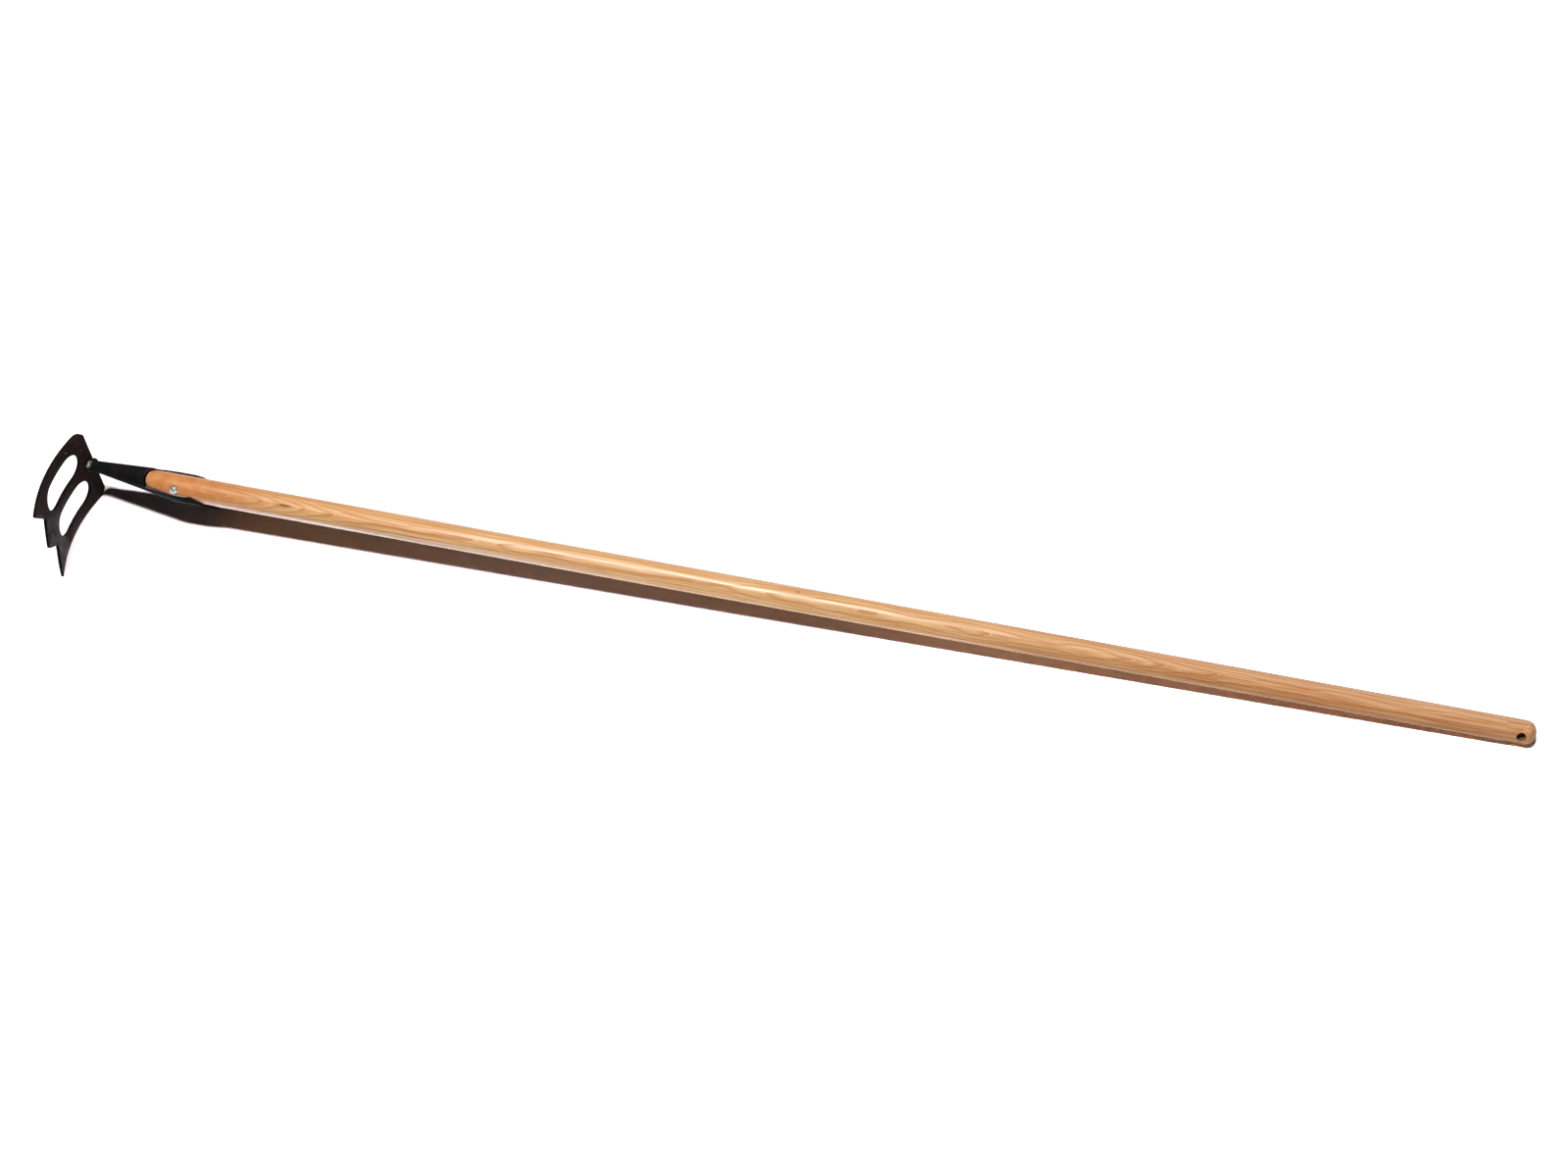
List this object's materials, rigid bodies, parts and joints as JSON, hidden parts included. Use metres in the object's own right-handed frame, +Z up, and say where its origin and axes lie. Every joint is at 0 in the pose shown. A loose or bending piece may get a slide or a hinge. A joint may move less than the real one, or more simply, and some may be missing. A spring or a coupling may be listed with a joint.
{
  "type": "fork hoe",
  "caption": "Fork hoe with a curved pointed blade, two long slots, a tapered open socket and a long ash handle, lying on its side.",
  "frame": {"origin": "centre of the underside of the tool's box as it lies on its side on the ground", "axes": "+X from the blade to the butt of the handle, -Y towards the blade's points, +Z up, the side on which the window of the socket opens"},
  "size_m": [1.6152, 0.1236, 0.1183],
  "materials": {
    "blade_steel": "thin satin black lacquer over forged steel",
    "socket_steel": "satin black lacquer",
    "weld_metal": "ripples of a weld bead, partly bare",
    "ash_wood": "smooth light ash under clear lacquer",
    "rivet_steel": "bright domed head"
  },
  "bodies": {
    "root": {"blade": "blade_steel", "socket": "socket_steel", "weld": "weld_metal", "handle": "ash_wood", "rivet": "rivet_steel"}
  },
  "joints": []
}
